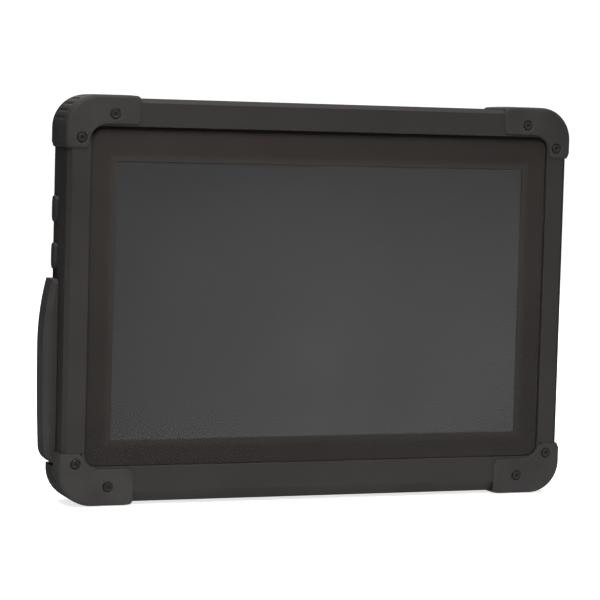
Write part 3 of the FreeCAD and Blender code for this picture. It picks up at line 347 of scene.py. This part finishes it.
# ---------------------------------------------------------------- display
# A transmissive panel, switched off, so it shows the dark grey of its front polariser with a faint
# row-and-column texture. Behind it are the pressed steel frame and the backlight. Its flat cable, like
# the two radio antennas, is copper lines sealed in amber film.


def cell_grid(made, joined, place):
    """Share of the dark lines between the display's rows and columns, as two crossed sets of waves."""
    lines = []
    for direction in ("X", "Z"):
        wave = dial(made, "ShaderNodeTexWave", bands_direction=direction, Scale=1100.0, Distortion=0.0)
        joined.new(place, wave.inputs["Vector"])
        lines.append(wave.outputs["Fac"])
    crossed = combined(made, joined, "MULTIPLY", *lines)
    return ranged(made, joined, crossed, 0.2, 1.0, 0.0, 0.25), (0.013, 0.013, 0.014)


polariser = finish("polariser", (0.0060, 0.0060, 0.0070), 0.33, grain=0.15, depth=0.0, mottle=0.05,
                   drift=9.0, pattern=cell_grid, Specular_IOR_Level=0.75)
give(polariser, "lcd_panel")
rolled_steel = finish("rolled_steel", (0.55, 0.55, 0.54), 0.36, grain=1.2, depth=0.012, wear_and_highlight=1.15,
                      mottle=0.1, streak=(1, 1, 14), Metallic=1.0)
give(rolled_steel, "lcd_frame", "backlight_plate")


def copper_lines(made, joined, place):
    """Share of the copper under the film: parallel lines seen through it."""
    wave = dial(made, "ShaderNodeTexWave", bands_direction="X", Scale=420.0, Distortion=0.0)
    joined.new(place, wave.inputs["Vector"])
    return ranged(made, joined, wave.outputs["Fac"], 0.45, 0.6, 0.0, 0.8), (0.48, 0.20, 0.07)


polyimide = finish("polyimide", (0.42, 0.17, 0.03), 0.3, grain=0.3, depth=0.004, wear_and_highlight=1.1, mottle=0.08,
                   pattern=copper_lines)
give(polyimide, "display_cable", "radio_antenna_left", "radio_antenna_right")

# ---------------------------------------------------------------- chassis and boards
# A pressed aluminium chassis carries the main board; its processor sits under a finned spreader. The
# boards are glass-epoxy with green resist over copper tracks, the chips are moulded epoxy, the coin
# cell has a bare steel can, and the satellite antenna is a block of fired ceramic.
sheet_aluminium = finish("sheet_aluminium", (0.60, 0.61, 0.62), 0.34, grain=0.9, depth=0.01, wear_and_highlight=1.2,
                         mottle=0.09, streak=(12, 1, 1), Metallic=1.0)
give(sheet_aluminium, "chassis_plate", "heat_spreader")


def copper_tracks(made, joined, place):
    """Share of the tracks and pads: bands that change direction from cell to cell, and the cells' spots."""
    cells = dial(made, "ShaderNodeTexVoronoi", Scale=260.0)
    bands = dial(made, "ShaderNodeTexWave", bands_direction="DIAGONAL", Scale=300.0, Distortion=6.0,
                 Detail=1.0, Detail_Scale=0.6)
    for texture in (cells, bands):
        joined.new(place, texture.inputs["Vector"])
    pads = ranged(made, joined, cells.outputs["Distance"], 0.22, 0.16)
    tracks = ranged(made, joined, bands.outputs["Fac"], 0.62, 0.7, 0.0, 0.45)
    return combined(made, joined, "MAXIMUM", pads, tracks), (0.10, 0.30, 0.08)


solder_resist = finish("solder_resist", (0.012, 0.085, 0.030), 0.32, grain=0.5, depth=0.02, wear_and_highlight=1.6,
                       pattern=copper_tracks)
give(solder_resist, "main_board", "io_board", "key_board")
chip_epoxy = finish("chip_epoxy", (0.022, 0.022, 0.025), 0.55, grain=0.12, depth=0.01, wear_and_highlight=1.9)
give(chip_epoxy, "processor", "memory_module", "solid_state_drive", "radio_module", "microphone")
cell_steel = finish("cell_steel", (0.58, 0.58, 0.57), 0.25, grain=0.5, depth=0.006, wear_and_highlight=1.1, mottle=0.06,
                    Metallic=1.0)
give(cell_steel, "coin_cell")
fired_ceramic = finish("fired_ceramic", (0.66, 0.63, 0.55), 0.6, grain=0.3, depth=0.02, wear_and_highlight=0.85,
                       mottle=0.08)
give(fired_ceramic, "gnss_antenna")

# ---------------------------------------------------------------- sockets and plain mouldings
# The sockets behind the cover are nickel-plated pressings, or black moulded blocks with round mouths.
# The dock's block, the contact block, the switches, the speaker boxes and the camera's housing are
# moulded the same way.
nickel_plate = finish("nickel_plate", (0.63, 0.61, 0.57), 0.22, grain=0.8, depth=0.004, wear_and_highlight=1.1,
                      mottle=0.08, Metallic=1.0)
give(nickel_plate, "usb_socket_upper", "usb_socket_lower", "usb_c_socket")
black_moulding = finish("black_moulding", (0.026, 0.026, 0.027), 0.45, grain=0.3, depth=0.012, wear_and_highlight=1.8,
                        rounding=0.25)
give(black_moulding, "audio_jack", "power_jack", "dock_connector", "battery_contacts", "power_switch",
     "function_switch", "speaker_left", "speaker_right", "camera_module")

# ---------------------------------------------------------------- brass and screws
# The bolt pattern's inserts and the battery's bushes are turned brass, and the dock's contacts are gold over
# brass. The screws and the cover's hinge pin are steel, blacked by oxide that wears to grey on the rims, and
# the grey rims are partly a painted highlight.
turned_brass = finish("turned_brass", (0.68, 0.47, 0.17), 0.26, grain=0.35, depth=0.012, wear_and_highlight=1.2,
                      mottle=0.12, streak=(1, 6, 1), Metallic=1.0)
give(turned_brass, "mount_inserts", "battery_bushes", "dock_contacts")
black_oxide = finish("black_oxide", (0.075, 0.073, 0.072), 0.42, grain=0.25, depth=0.01, rounding=0.2,
                     wear_and_highlight=3.2, mottle=0.2, Metallic=1.0)
give(black_oxide, "housing_screws", "bumper_screws", "board_screws", "io_door_pin", "battery_screw_left",
     "battery_screw_right")

# ---------------------------------------------------------------- corner bumpers
# Four soft caps, moulded in near-black elastomer and stretched over the case corners. Each wraps from
# the front over the side to the back, thins out towards its ends, and is held by two small screws
# that sit in dishes. Five grooves across the corner give it some grip. Sizes are in millimetres.
shift = 1000 * panel_middle[0]
case_top = 200.0
half_outside = 134.5
bumper_reach = np.array((37.5, 26.0))
shoulder, belly_rise, round_outside = 1.8, 0.2, 16.5
lip_front, lip_round, lip_back, back_lip, back_round = -16.0, 9.0, 13.0, 18.5, 8.0
case_front, case_back, case_bevel, proud = -14.95, 11.95, 2.15, 1.45
lip_at_side, lip_to_glass, lip_end_round, lip_end_zone = 11.8, {1: 14.3, -1: 18.3}, 3.0, 5
screw_dishes = ((24.5, 9.5), (8.0, 21.0))
dish_deep, dish_radius, dish_wall = 0.85, 2.35, 0.35
rim_deep, rim_radius, rim_wide = 0.12, 2.7, 1.2
groove_angles, groove_wide, groove_deep = (17, 31, 45, 59, 73), 2.4, 0.45
groove_from, groove_to, groove_fade = -11, 8, 4
thinned, thinned_over, thinned_past = 0.72, 5.0, -24
notch_front, notch_step, notch_height = -3.6, 0.01, 18.65
straight_points, curve_points = 26, 92


def smooth(share):
    """A share held between 0 and 1 and eased at both ends: its square times three less twice itself."""
    share = np.clip(share, 0, 1)
    return share * share * (3 - 2 * share)


def inside(distance, size, edge):
    """Share that is 1 up to a size and falls smoothly to 0 over the width of an edge past it."""
    return 1 - smooth((distance - size) / edge)


def between(share, start, end):
    """The value at a share of the way from start to end."""
    return start + share * (end - start)


def eased(distance, radius):
    """How far a quarter-round edge has fallen at a distance d in from it: the radius r less the root of
    r squared less (r - d) squared, with d held between 0 and r."""
    return radius * (1 - np.sqrt(1 - (1 - np.clip(distance / radius, 0, 1)) ** 2))


def corner_outlines(inset_x, inset_z, radius, shorter):
    """A straight run up the side, a quarter circle and a straight run along the end, once for each point of
    the section. The corner is at the origin and the case in the negative quadrant."""
    run = np.linspace(0, 1, straight_points)[:, None]
    turn = np.radians(np.linspace(0, 90, curve_points))[1:, None]
    side_from, side_to = -bumper_reach[1] + shorter, -(inset_z + radius)
    end_from, end_to = -(inset_x + radius), -bumper_reach[0] + shorter
    up_the_side = np.broadcast_arrays(-inset_x, between(run, side_from, side_to))
    round_it = -inset_x - radius + radius * np.cos(turn), -inset_z - radius + radius * np.sin(turn)
    along_the_end = np.broadcast_arrays(between(run[1:], end_from, end_to), -inset_z)
    return np.concatenate([np.stack(leg, -1) for leg in (up_the_side, round_it, along_the_end)])


def stretch(inset_x, inset_z, radius, depth):
    """One leg of a section: its four columns, brought to one length."""
    return np.broadcast_arrays(inset_x, inset_z, radius, depth)


def bumper_section(lip_x, lip_z):
    """Insets in x and z, corner radius and depth along the section from the front lip to the back lip:
    outside, with its round shoulders and slightly bellied side, and against the case, with its bevels."""
    across = np.linspace(0, 1, 34)
    onwards = across[1:]
    bend_over = np.radians(np.linspace(0, 90, 8))[1:]
    at_notch = [notch_front, notch_front + notch_step]
    down = np.linspace(lip_front + shoulder, lip_back - shoulder, 24)[1:]
    down = np.sort(np.append(down, at_notch))
    from_middle = (down - (lip_front + lip_back) / 2) / (lip_back - lip_front - 2 * shoulder) * 2
    belly = belly_rise * from_middle ** 2
    edge = belly_rise + shoulder
    rise, sink = edge - shoulder * np.sin(bend_over), belly_rise + shoulder * (1 - np.cos(bend_over))
    back_inset = between(onwards, edge, back_lip)
    outside = [
        stretch(between(across, lip_x, edge), between(across, lip_z, edge),
                between(across, lip_round, round_outside - edge),
                lip_front + eased(across * (lip_x - edge), 0.6)),
        stretch(rise, rise, round_outside - rise, lip_front + shoulder * (1 - np.cos(bend_over))),
        stretch(belly, belly, round_outside - belly, down),
        stretch(sink, sink, round_outside - sink, lip_back - shoulder * (1 - np.sin(bend_over))),
        stretch(back_inset, back_inset, between(onwards, round_outside - edge, back_round),
                lip_back - eased((1 - onwards) * (back_lip - edge), 0.6))]
    edge = proud + case_bevel
    bevel = np.linspace(0, case_bevel, 8)[1:]
    wall = np.linspace(case_front + case_bevel, case_back - case_bevel, 24)[1:]
    wall = np.sort(np.append(wall, at_notch))
    back_inset = between(onwards, edge, back_lip)
    inner_side = [
        stretch(between(across, lip_x, edge), between(across, lip_z, edge),
                between(across, lip_round, round_outside - edge), case_front),
        stretch(edge - bevel, edge - bevel, round_outside - edge + bevel, case_front + bevel),
        stretch(proud, proud, round_outside - proud, wall),
        stretch(proud + bevel, proud + bevel, round_outside - proud - bevel,
                case_back - case_bevel + bevel),
        stretch(back_inset, back_inset, between(onwards, round_outside - edge, back_round), case_back)]
    return [[np.concatenate(column) for column in zip(*legs)] for legs in (outside, inner_side)]


def slab(outer, inner):
    """Two grids of one size and the four strips that join their edges: a closed body."""
    edges = [(grid[0], grid[-1], grid[:, 0], grid[:, -1]) for grid in (outer, inner)]
    return [outer, inner] + [np.stack(pair) for pair in zip(*edges)]


def bumper_slab(lip_x, lip_z):
    """The cap over one corner: the skin against the case, moved towards the outer skin by a share that falls
    in a quarter round at the cap's ends. The dishes and the grooves are pressed into the outer skin."""
    skins = []
    sections = bumper_section(lip_x, lip_z)
    inset_outside, _, _, depth_outside = sections[0]
    rounded_off = eased(np.abs(inset_outside - lip_x), lip_end_round)
    shorter = np.where(depth_outside < case_front + lip_end_zone, rounded_off, 0)
    for inset_x, inset_z, radius, depth in sections:
        flat = corner_outlines(inset_x, inset_z, radius, shorter)
        skins.append(np.stack([flat[..., 0], np.broadcast_to(depth, flat.shape[:2]), flat[..., 1]], -1))
    outer, inner = skins
    turn = np.concatenate([np.zeros(straight_points - 1), np.linspace(0, 90, curve_points),
                           np.full(straight_points - 1, 90.0)])
    grooves = sum(np.exp(-((turn - middle) / groove_wide) ** 2) for middle in groove_angles)[:, None]
    within = smooth((outer[..., 1] - groove_from) / groove_fade)
    within = within * smooth((groove_to - outer[..., 1]) / groove_fade)
    inwards = np.stack([-np.cos(np.radians(turn)), 0 * turn, -np.sin(np.radians(turn))], -1)[:, None]
    outer = outer + groove_deep * (grooves * within)[..., None] * inwards
    for across, down in screw_dishes:
        distance = np.hypot(outer[..., 0] + across, outer[..., 2] + down)
        pressed = dish_deep * inside(distance, dish_radius, dish_wall)
        pressed = pressed + rim_deep * inside(distance, rim_radius, rim_wide)
        outer[..., 1] += np.where(outer[..., 1] < case_front + 0.1, pressed, 0)
    from_end = np.minimum(outer[..., 2] + bumper_reach[1], outer[..., 0] + bumper_reach[0])
    from_end = np.where(outer[..., 0] + outer[..., 2] < thinned_past, from_end, thinned_over)
    kept = 1 - thinned * eased(from_end, thinned_over) / thinned_over
    return slab(inner + kept[..., None] * (outer - inner), inner)


def placed(grids, side, up):
    """Turn a corner's grids to its own corner and into metres in the frame."""
    corner = np.array((side * half_outside + shift, 0, case_top if up > 0 else 0.0))
    return [(grid * (side, 1, up) + corner) / 1000 for grid in grids]


def piece(name, grids, material, body, replaces=()):
    """A finished skin that rides on a body and may stand for CAD nodes."""
    item = skin(name, grids)
    item.data.materials.append(material)
    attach(item, body)
    if replaces:
        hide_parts(*replaces)
    return item


bumper_elastomer = finish("bumper_elastomer", (0.034, 0.0325, 0.0315), 0.66, grain=0.6, depth=0.05,
                          rounding=0.5, wear_and_highlight=1.45, mottle=0.2, drift=48.0, Specular_IOR_Level=0.2)
for name, side, up in (("bumper_top_left", -1, 1), ("bumper_top_right", 1, 1),
                       ("bumper_bottom_right", 1, -1), ("bumper_bottom_left", -1, -1)):
    grids = bumper_slab(lip_at_side, lip_to_glass[up])
    # Behind the notch's front edge, the lower left cap stays under the end of the connector cover.
    if name == "bumper_bottom_left":
        for grid in grids:
            makes_way = grid[..., 1] > notch_front + notch_step / 2
            grid[..., 2] = np.where(makes_way, np.maximum(grid[..., 2], -notch_height), grid[..., 2])
    cap = placed(grids, side, up)
    piece(name.replace("bumper", "cap"), cap, bumper_elastomer, "case", [name])

# ---------------------------------------------------------------- side keys
# Two dished silicone keycaps come out through the left side wall, held behind it by a wider flange.
# One carries a raised ring with a stroke, the other a raised bar, so that they can be told by touch.


def pressed_shape(rings, exponent, turns):
    """Superellipse rings stacked along x: each is (half y, half z, x), and a zero size is a pole."""
    angle = np.linspace(0, 2 * np.pi, turns + 1)
    half_y, half_z, out = (column[:, None] for column in np.asarray(rings, float).T)
    power = 2 / exponent
    across = np.sign(np.cos(angle)) * np.abs(np.cos(angle)) ** power
    upwards = np.sign(np.sin(angle)) * np.abs(np.sin(angle)) ** power
    return np.stack([np.broadcast_to(out, (len(out), len(angle))), half_y * across, half_z * upwards], -1)


def ring_and_stroke(y, z):
    """Height share of a ring open at its top and a stroke that stands in the gap."""
    ring_radius, stroke_middle = 1.75, 1.6
    ring = inside(np.abs(np.hypot(y, z) - ring_radius), 0.18, 0.14)
    gap = smooth((np.abs(y) - 0.55) / 0.15) + smooth(0.5 - z)
    stroke = inside(np.abs(y), 0.16, 0.14) * inside(np.abs(z - stroke_middle), 0.8, 0.2)
    return np.clip(ring * np.minimum(gap, 1) + stroke, 0, 1)


def plain_bar(y, z):
    """Height share of one upright bar."""
    return inside(np.abs(y), 0.22, 0.16) * inside(np.abs(z), 2.2, 0.3)


key_silicone = finish("key_silicone", (0.030, 0.030, 0.031), 0.55, grain=0.35, depth=0.02, rounding=0.2,
                      wear_and_highlight=1.6, Specular_IOR_Level=0.3)
key_half_y, key_half_z, key_edge = 3.45, 6.45, 0.7
key_dish, mark_high, top_rings = 0.28, 0.12, 44
flange_y, flange_z, flange_down, flange_thick = key_half_y + 1, key_half_z + 1.5, 4.1, 1.2
stem_half = 1.4
for name, mark in (("power_button", ring_and_stroke), ("function_button", plain_bar)):
    low, high = (1000 * np.array(corner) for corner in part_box(name))
    middle = (low + high) / 2
    share = np.linspace(0, 1, top_rings)
    roll = np.radians(np.linspace(0, 90, 8))[1:]
    rolled_in = key_edge * (1 - np.sin(roll))
    face = low[0] + mark_high
    flange = low[0] + flange_down
    flange_back = flange + flange_thick
    rings = [*zip((key_half_y - key_edge) * share, (key_half_z - key_edge) * share,
                  face + key_dish * (1 - share ** 2)),
             *zip(key_half_y - rolled_in, key_half_z - rolled_in, face + key_edge * (1 - np.cos(roll))),
             (key_half_y, key_half_z, flange), (flange_y, flange_z, flange),
             (flange_y, flange_z, flange_back), (stem_half, stem_half, flange_back),
             (stem_half, stem_half, high[0]), (0, 0, high[0])]
    cap = pressed_shape(rings, 3.6, 96)
    top = cap[:top_rings]
    top[..., 0] -= mark_high * mark(top[..., 1], top[..., 2])
    grid = (cap + (0, middle[1], middle[2])) / 1000
    piece(name.replace("button", "keycap"), [grid], key_silicone, name, [name])

# ---------------------------------------------------------------- connector cover
# A moulded flap in black plastic, bowed out over the plugs' room and hinged on a steel pin at the back
# edge. Its rim presses the seal when it is shut.
cover_moulding = finish("cover_moulding", (0.038, 0.0365, 0.0355), 0.58, grain=0.45, depth=0.03,
                        rounding=0.6, wear_and_highlight=1.6, Specular_IOR_Level=0.25)
give(cover_moulding, "io_door")

# ---------------------------------------------------------------- battery pack
# A swappable pack moulded in black plastic. Its outer face has three finger grooves, a shallow recess
# with a blank label, and a well round each of the two slotted screws that hold it.
pack_low, pack_high = (1000 * np.array(corner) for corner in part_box("battery_pack"))
pack_middle = (pack_low + pack_high) / 2
pack_foot, pack_corner, pack_edge = 12.15, 9.0, 1.6
pack_half = (pack_high - pack_low)[[0, 2]] / 2
well_across, well_radius, well_deep, well_reach = 103.0, 5.4, 2.2, 6.6
finger_grooves, finger_half, finger_deep = (27.0, 31.5, 36.0), 34.0, 0.9
label_half, label_down, label_deep = (50.0, 15.0), -16.0, 0.35
film_half, film_faces = (48.5, 13.5), (0.22, 0.45)
plug_half, plug_corner = (94.7, 41.7), 5.0


def past_rectangle(x, z, half, corner):
    """Distance outside a rounded rectangle, negative inside: that to its inner rectangle, less the
    corner radius."""
    past_x, past_z = np.abs(x) - half[0] + corner, np.abs(z) - half[1] + corner
    past_corner = np.hypot(np.maximum(past_x, 0), np.maximum(past_z, 0))
    return past_corner + np.minimum(np.maximum(past_x, past_z), 0) - corner


def stations(half, coarse, fine, spots):
    """Places from -half to half, a coarse step apart, and a fine step apart within reach of each spot."""
    steps = [np.linspace(-half, half, int(2 * half / coarse) + 1)]
    steps += [np.arange(spot - reach, spot + reach + fine, fine) for spot, reach in spots]
    return np.unique(np.clip(np.concatenate(steps), -half, half).round(3))


def rounded_sheet(across, upwards, half, corner):
    """A grid over a rounded rectangle: each row is squeezed to the width that the corners leave there."""
    x, z = np.meshgrid(across, upwards, indexing="ij")
    into_corner = np.clip(np.abs(z) - (half[1] - corner), 0, corner)
    width = half[0] - corner + np.sqrt(corner ** 2 - into_corner ** 2)
    return x * width / half[0], z


across = stations(pack_half[0], 2.2, 0.35, [(well_across, well_reach), (-well_across, well_reach),
                                            (pack_half[0], 2), (-pack_half[0], 2)])
upwards = stations(pack_half[1], 1.6, 0.35, [(0, well_reach), (pack_half[1], 3), (-pack_half[1], 3),
                                             (finger_grooves[1], 7)])
x, z = rounded_sheet(across, upwards, pack_half, pack_corner)
depth = eased(-past_rectangle(x, z, pack_half, pack_corner), pack_edge)
to_well = np.hypot(np.abs(x) - well_across, z)
depth = np.maximum(depth, well_deep * inside(to_well, well_radius - 0.3, 0.5))
depth += label_deep * inside(past_rectangle(x, z - label_down, label_half, 3.0), -0.2, 0.4)
for height in finger_grooves:
    from_groove = np.hypot(np.maximum(np.abs(x) - finger_half, 0), z - height)
    depth += finger_deep * inside(from_groove, 0.5, 1.1)
outer = np.stack([x, pack_high[1] - depth, z], -1)
foot = np.stack([x, np.full_like(x, pack_foot), z], -1)
across = stations(plug_half[0], 4, 1, [(plug_half[0], 5), (-plug_half[0], 5)])
upwards = stations(plug_half[1], 4, 0.5, [(plug_half[1], 6), (-plug_half[1], 6)])
x, z = rounded_sheet(across, upwards, plug_half, plug_corner)
plug = [np.stack([x, np.full_like(x, y), z], -1) for y in (pack_foot + 0.5, pack_low[1])]
shell = slab(outer, foot) + slab(*plug)
pack_plastic = finish("pack_plastic", (0.032, 0.0315, 0.0315), 0.5, grain=0.5, depth=0.03, rounding=0.5,
                      wear_and_highlight=1.7, Specular_IOR_Level=0.35)
centre = (pack_middle[0], 0, pack_middle[2])
piece("battery_shell", [(grid + centre) / 1000 for grid in shell], pack_plastic, "battery",
      ["battery_pack"])

label_film = finish("label_film", (0.10, 0.10, 0.102), 0.38, grain=0.8, depth=0.004, rounding=0.1, wear_and_highlight=1.1,
                    mottle=0.04, drift=20.0)
across = np.linspace(-film_half[0], film_half[0], 40)
upwards = stations(film_half[1], 3, 0.4, [(film_half[1], 3), (-film_half[1], 3)])
x, z = rounded_sheet(across, upwards, film_half, 2.0)
film = [np.stack([x, np.full_like(x, pack_high[1] - down), z + label_down], -1) for down in film_faces]
piece("blank_label", [(grid + centre) / 1000 for grid in slab(*film)], label_film, "battery")

# ---------------------------------------------------------------- camera and flash
# The camera looks out of the back through a flat dark window, set in a raised ring turned in dark
# anodised aluminium. Beside it is the flash, under a clear lens moulded with fine rings.
window_glass = finish("window_glass", (0.012, 0.012, 0.014), 0.06, grain=2.0, depth=0.001, rounding=0.1,
                      wear_and_highlight=1.0, mottle=0.05)
give(window_glass, "camera_window")
window_low, window_high = (1000 * np.array(corner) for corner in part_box("camera_window"))
window_middle, window_radius = (window_low + window_high) / 2, (window_high[0] - window_low[0]) / 2
back_face = 12.0
ring_corners = ((0.15, -0.35), (0.15, 0.25), (0.45, 0.5), (1.0, 0.58), (1.55, 0.5), (1.9, 0.2),
                (1.9, -0.35), (0.15, -0.35))
ring_profile = [(window_radius + out, back_face + up) for out, up in ring_corners]
ring = turned_about(ring_profile, 128)[..., [0, 2, 1]] + (window_middle[0], 0, window_middle[2])
anodised_ring = finish("anodised_ring", (0.09, 0.09, 0.092), 0.32, grain=0.2, depth=0.004, rounding=0.1,
                       wear_and_highlight=2.2, Metallic=1.0)
piece("lens_ring", [ring / 1000], anodised_ring, "case")
flash_low, flash_high = (np.array(corner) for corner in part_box("flash_lens"))
flash_middle = (flash_low + flash_high) / 2


def lens_rings(made, joined, place):
    """Share of the rings moulded in the flash lens, as waves round its middle."""
    centred = dial(made, "ShaderNodeMapping", Location=tuple(-flash_middle))
    wave = dial(made, "ShaderNodeTexWave", wave_type="RINGS", rings_direction="Y", Scale=700.0,
                Distortion=0.0)
    joined.new(place, centred.inputs["Vector"])
    joined.new(centred.outputs["Vector"], wave.inputs["Vector"])
    return wave.outputs["Fac"], (0.85, 0.84, 0.76)


flash_plastic = finish("flash_plastic", (0.78, 0.77, 0.66), 0.16, grain=1.5, depth=0.05, rounding=0.2,
                       wear_and_highlight=1.0, mottle=0.04, pattern=lens_rings)
give(flash_plastic, "flash_lens")
